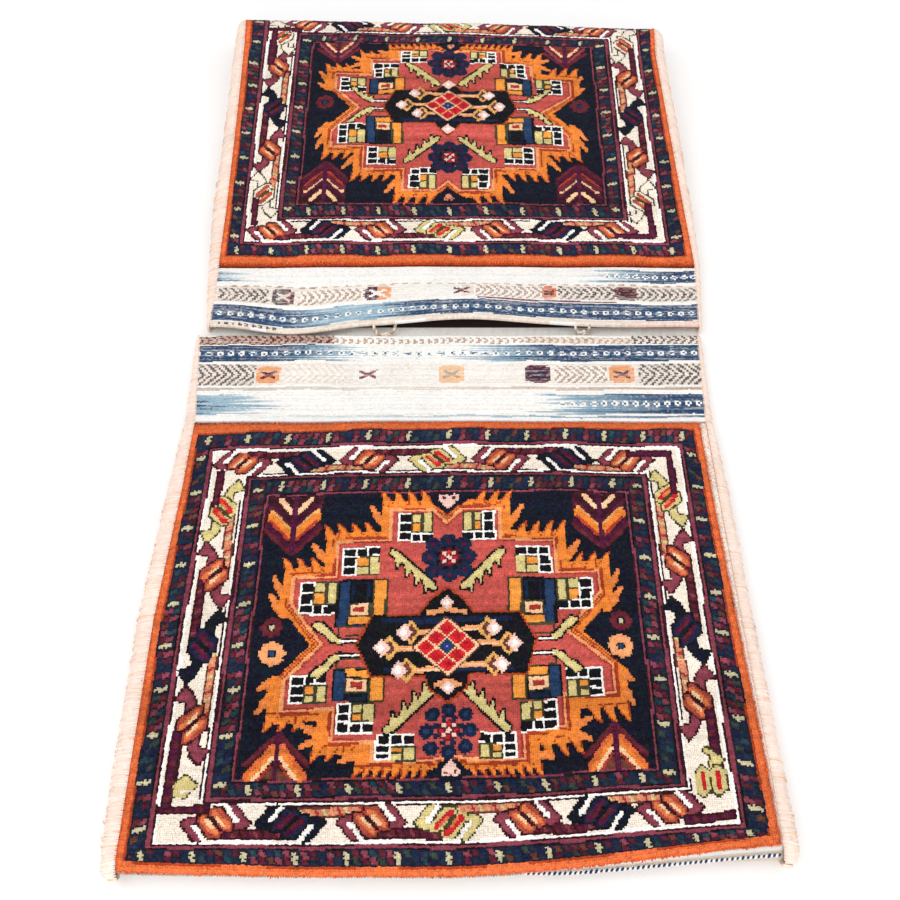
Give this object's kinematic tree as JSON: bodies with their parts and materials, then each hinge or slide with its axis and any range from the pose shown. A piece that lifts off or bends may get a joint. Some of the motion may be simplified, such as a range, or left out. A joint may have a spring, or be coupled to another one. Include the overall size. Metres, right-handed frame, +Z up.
{
  "type": "double saddle bag",
  "caption": "Flat woven double saddle bag with a patterned pile face on each pouch, mouths facing over a slit.",
  "frame": {"origin": "centre of the footprint, on the surface that the bag lies on", "axes": "+Y from the near pouch to the far pouch along the bag, +X to the right across it seen from the near pouch, +Z up"},
  "size_m": [0.5814, 1.1464, 0.0557],
  "materials": {
    "woven_wool": "knotted pile and flat weave, matt",
    "binding_wool": "overcast wool, matt",
    "loop_yarn": "twisted wool yarn, matt"
  },
  "bodies": {
    "root": {"woven_strip": "woven_wool", "near_left_binding": "binding_wool", "near_right_binding": "binding_wool", "far_left_binding": "binding_wool", "far_right_binding": "binding_wool", "left_closing_loop": "loop_yarn", "right_closing_loop": "loop_yarn"}
  },
  "joints": []
}
